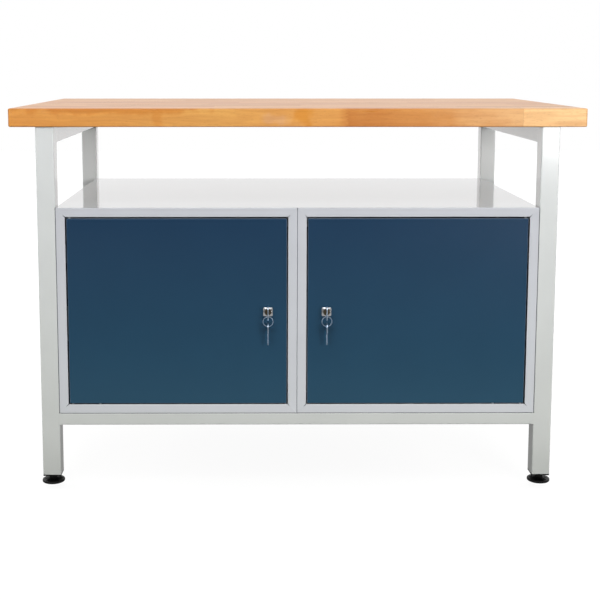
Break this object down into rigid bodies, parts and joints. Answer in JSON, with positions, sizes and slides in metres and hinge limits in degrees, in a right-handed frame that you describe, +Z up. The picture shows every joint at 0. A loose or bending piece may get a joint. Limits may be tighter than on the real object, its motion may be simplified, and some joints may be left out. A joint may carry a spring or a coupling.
{
  "type": "workbench with cabinet doors",
  "caption": "Steel tube workbench with a thick wooden top, an open storage gap, lockable cabinets with hinged doors, hanging keys and levelling feet.",
  "frame": {"origin": "On the floor, midway across the width and midway between the foremost point of the keys and the worktop's rear edge.", "axes": "+X along the bench to the right as seen from the front, +Y towards the back, +Z up."},
  "size_m": [1.25, 0.7312, 0.84],
  "materials": {
    "oiled_beech": "finger-jointed beech staves, sanded and oiled",
    "grey_powder_coat": "light grey semi-gloss powder coat on steel",
    "blue_powder_coat": "dark blue semi-gloss powder coat on steel",
    "black_plastic": "matt black moulded plastic",
    "chrome": "polished chrome on die-cast zinc",
    "zinc_plated_steel": "zinc-plated steel",
    "nickel_plated_steel": "nickel-plated steel, slightly worn"
  },
  "bodies": {
    "bench": {"worktop": "oiled_beech", "leg_front_left": "grey_powder_coat", "leg_front_right": "grey_powder_coat", "leg_rear_left": "grey_powder_coat", "leg_rear_right": "grey_powder_coat", "leg_plug_front_left": "black_plastic", "leg_plug_front_right": "black_plastic", "leg_plug_rear_left": "black_plastic", "leg_plug_rear_right": "black_plastic", "top_bar_left": "grey_powder_coat", "top_bar_right": "grey_powder_coat", "top_bar_rear": "grey_powder_coat", "side_rail_left": "grey_powder_coat", "side_rail_right": "grey_powder_coat", "front_rail": "grey_powder_coat", "rear_rail": "grey_powder_coat", "left_cabinet_hinge_side": "grey_powder_coat", "left_cabinet_lock_side": "grey_powder_coat", "left_cabinet_top": "grey_powder_coat", "left_cabinet_bottom": "grey_powder_coat", "left_cabinet_back": "grey_powder_coat", "left_shelf": "grey_powder_coat", "left_shelf_rail_left": "zinc_plated_steel", "left_shelf_rail_right": "zinc_plated_steel", "left_upper_pivot": "zinc_plated_steel", "left_lower_pivot": "zinc_plated_steel", "right_cabinet_hinge_side": "grey_powder_coat", "right_cabinet_lock_side": "grey_powder_coat", "right_cabinet_top": "grey_powder_coat", "right_cabinet_bottom": "grey_powder_coat", "right_cabinet_back": "grey_powder_coat", "right_shelf": "grey_powder_coat", "right_shelf_rail_left": "zinc_plated_steel", "right_shelf_rail_right": "zinc_plated_steel", "right_upper_pivot": "zinc_plated_steel", "right_lower_pivot": "zinc_plated_steel"},
    "front_left_foot": {"foot_front_left": "black_plastic"},
    "front_right_foot": {"foot_front_right": "black_plastic"},
    "rear_left_foot": {"foot_rear_left": "black_plastic"},
    "rear_right_foot": {"foot_rear_right": "black_plastic"},
    "left_door": {"left_door_pan": "blue_powder_coat", "left_door_stiffener": "blue_powder_coat", "left_lock_housing": "chrome", "left_lock_nut": "zinc_plated_steel"},
    "left_lock": {"left_lock_core": "chrome", "left_lock_cam": "zinc_plated_steel"},
    "left_key_body": {"left_key": "nickel_plated_steel"},
    "left_ring_body": {"left_key_ring": "nickel_plated_steel"},
    "left_spare_body": {"left_spare_key": "nickel_plated_steel"},
    "right_door": {"right_door_pan": "blue_powder_coat", "right_door_stiffener": "blue_powder_coat", "right_lock_housing": "chrome", "right_lock_nut": "zinc_plated_steel"},
    "right_lock": {"right_lock_core": "chrome", "right_lock_cam": "zinc_plated_steel"},
    "right_key_body": {"right_key": "nickel_plated_steel"},
    "right_ring_body": {"right_key_ring": "nickel_plated_steel"},
    "right_spare_body": {"right_spare_key": "nickel_plated_steel"}
  },
  "joints": [
    {"name": "left_door_hinge", "type": "hinge", "parent": "bench", "child": "left_door", "pos_m": [-0.4985, -0.32635, 0.393], "axis": [0, 0, -1], "range_deg": [0, 110]},
    {"name": "right_door_hinge", "type": "hinge", "parent": "bench", "child": "right_door", "pos_m": [0.4985, -0.32635, 0.393], "axis": [0, 0, 1], "range_deg": [0, 110]},
    {"name": "left_lock_turn", "type": "hinge", "parent": "left_door", "child": "left_lock", "pos_m": [-0.0645, -0.33135, 0.393], "axis": [0, 1, 0], "range_deg": [0, 90]},
    {"name": "right_lock_turn", "type": "hinge", "parent": "right_door", "child": "right_lock", "pos_m": [0.0645, -0.33135, 0.393], "axis": [0, -1, 0], "range_deg": [0, 90]},
    {"name": "left_key_pull", "type": "slide", "parent": "left_lock", "child": "left_key_body", "axis": [0, -1, 0], "range_m": [0, 0.024]},
    {"name": "right_key_pull", "type": "slide", "parent": "right_lock", "child": "right_key_body", "axis": [0, -1, 0], "range_m": [0, 0.024]},
    {"name": "left_ring_swing", "type": "hinge", "parent": "left_key_body", "child": "left_ring_body", "pos_m": [-0.0645, -0.35065, 0.38605], "axis": [-1, 0, 0], "range_deg": [-5, 25]},
    {"name": "right_ring_swing", "type": "hinge", "parent": "right_key_body", "child": "right_ring_body", "pos_m": [0.0645, -0.35065, 0.38605], "axis": [-1, 0, 0], "range_deg": [-5, 25]},
    {"name": "left_spare_swing", "type": "hinge", "parent": "left_ring_body", "child": "left_spare_body", "pos_m": [-0.0645, -0.35065, 0.36425], "axis": [-1, 0, 0], "range_deg": [-5, 25]},
    {"name": "right_spare_swing", "type": "hinge", "parent": "right_ring_body", "child": "right_spare_body", "pos_m": [0.0645, -0.35065, 0.36425], "axis": [-1, 0, 0], "range_deg": [-5, 25]},
    {"name": "front_left_foot_height", "type": "slide", "parent": "bench", "child": "front_left_foot", "axis": [0, 0, -1], "range_m": [0, 0.015]},
    {"name": "front_right_foot_height", "type": "slide", "parent": "bench", "child": "front_right_foot", "axis": [0, 0, -1], "range_m": [0, 0.015]},
    {"name": "rear_left_foot_height", "type": "slide", "parent": "bench", "child": "rear_left_foot", "axis": [0, 0, -1], "range_m": [0, 0.015]},
    {"name": "rear_right_foot_height", "type": "slide", "parent": "bench", "child": "rear_right_foot", "axis": [0, 0, -1], "range_m": [0, 0.015]}
  ]
}
